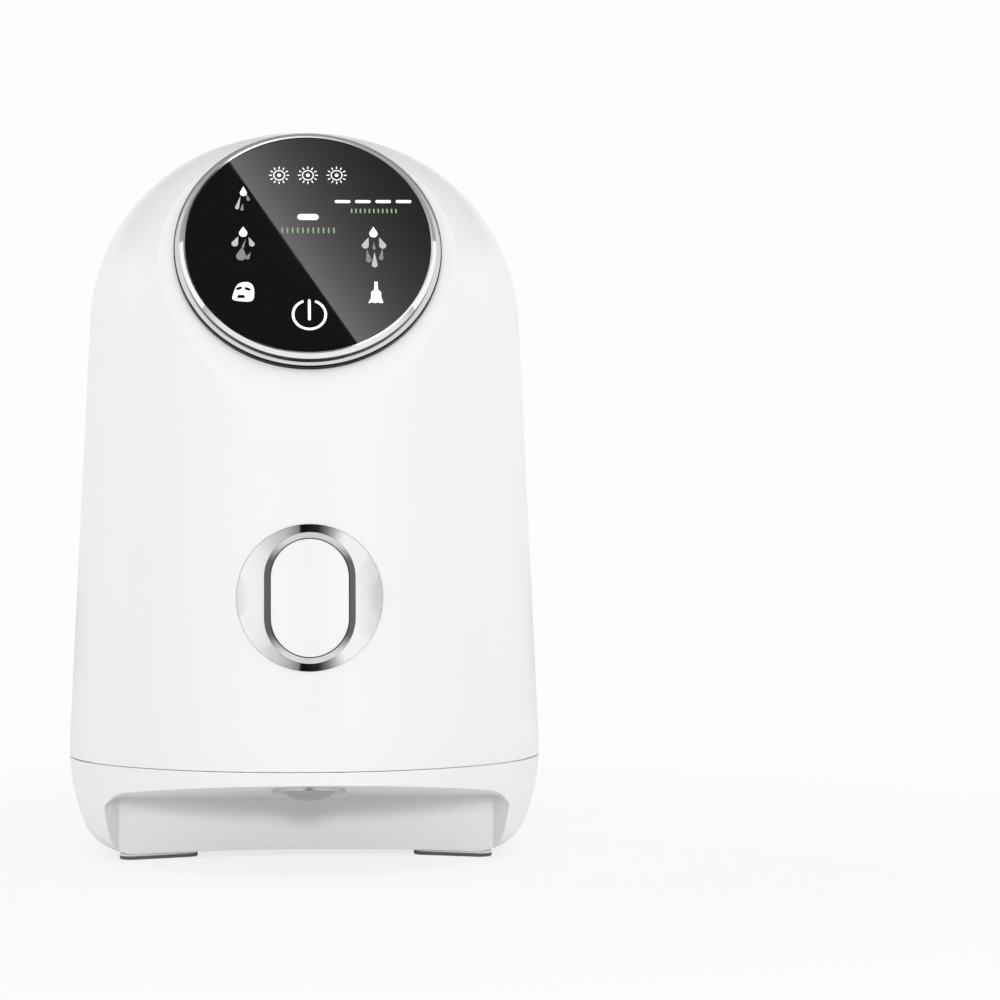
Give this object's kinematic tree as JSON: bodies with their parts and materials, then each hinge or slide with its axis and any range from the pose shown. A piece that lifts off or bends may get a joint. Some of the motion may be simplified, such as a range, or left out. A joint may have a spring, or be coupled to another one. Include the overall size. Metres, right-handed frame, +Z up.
{
  "type": "facial mask maker",
  "caption": "Desk-top facial mask maker: white egg-shaped body, tilted round touch panel, chrome disc with an oval push button, hinged rear lid over a stirred, heated cup, drip nozzle over a tray recess",
  "frame": {"origin": "centre of the footprint on the table, under the body's axis", "axes": "+Z up; -Y is the front, with the control panel, the button and the tray recess; +X is to the right seen from the front"},
  "size_m": [0.1428, 0.1435, 0.219],
  "materials": {
    "shell_white": "injection-moulded, satin gloss",
    "inner_plastic": "plain moulded",
    "pad_rubber": "matt",
    "seal_silicone": "matt, slightly milky",
    "steel": "plain",
    "panel_silver": "satin silver paint on plastic",
    "chrome": "polished plating",
    "black_glass": "gloss black, printed behind",
    "black_plastic": "plain",
    "light_diffuser": "milky",
    "circuit_board": "solder mask",
    "ribbon_white": "plain",
    "ring_grey": "smooth",
    "button_white": "smooth",
    "heater_foil": "polyimide film",
    "insulation_felt": "felt",
    "fuse_tan": "plain",
    "iron": "plain",
    "valve_ivory": "plain",
    "brass": "drawn",
    "copper_wire": "enamelled copper winding",
    "amber_parts": "taped windings and cans",
    "speaker_grey": "plain"
  },
  "bodies": {
    "housing": {"main_housing": "shell_white", "base_shell": "shell_white", "base_plate": "inner_plastic", "foot_pads": "pad_rubber", "hinge_pin": "steel", "panel_tray": "panel_silver", "panel_bezel": "chrome", "panel_glass": "black_glass", "light_mask": "black_plastic", "key_lights": "light_diffuser", "touch_board": "circuit_board", "panel_ribbon": "ribbon_white", "chest_disc": "chrome", "button_ring": "ring_grey", "button_carrier": "inner_plastic", "button_switch": "circuit_board", "cup_chute": "shell_white", "cup_gasket": "seal_silicone", "mixing_cup": "steel", "heater_band": "heater_foil", "cup_insulation": "insulation_felt", "thermistor": "black_plastic", "thermal_fuse": "fuse_tan", "shaft_seal": "seal_silicone", "motor_can": "steel", "motor_magnets": "iron", "motor_end_cap": "black_plastic", "motor_bracket": "inner_plastic", "valve_body": "valve_ivory", "valve_sleeve": "brass", "valve_coil": "copper_wire", "valve_spring": "steel", "inlet_tube": "seal_silicone", "outlet_tube": "seal_silicone", "nozzle": "chrome", "nozzle_flange": "chrome", "main_board": "circuit_board", "board_parts": "black_plastic", "power_board": "circuit_board", "power_parts": "amber_parts", "speaker": "speaker_grey", "power_inlet": "black_plastic", "inlet_pins": "brass", "housing_screws": "steel", "plate_screws": "steel", "bracket_screws": "steel", "board_screws": "steel"},
    "lid": {"lid": "shell_white", "lid_liner": "inner_plastic", "lid_gasket": "seal_silicone", "liner_screws": "steel"},
    "stirrer": {"stirrer": "button_white", "motor_rotor": "iron"},
    "front_button": {"button_cap": "button_white", "button_spring": "steel", "switch_nub": "black_plastic"},
    "valve_plunger": {"valve_plunger": "steel"}
  },
  "joints": [
    {"name": "lid_hinge", "type": "hinge", "parent": "housing", "child": "lid", "pos_m": [0, 0.0644, 0.17836], "axis": [-1, 0, 0], "range_deg": [0, 85]},
    {"name": "stirrer_spin", "type": "hinge", "parent": "housing", "child": "stirrer", "pos_m": [0, 0.017, 0.1], "axis": [0, 0, 1], "continuous": true},
    {"name": "button_push", "type": "slide", "parent": "housing", "child": "front_button", "axis": [0, 1, 0], "range_m": [0, 0.0015], "stiffness_N_per_m": 800, "springref_m": -0.002},
    {"name": "valve_lift", "type": "slide", "parent": "housing", "child": "valve_plunger", "axis": [0, 0, 1], "range_m": [0, 0.004], "stiffness_N_per_m": 400, "springref_m": -0.002, "deforming": ["valve_spring"]}
  ]
}
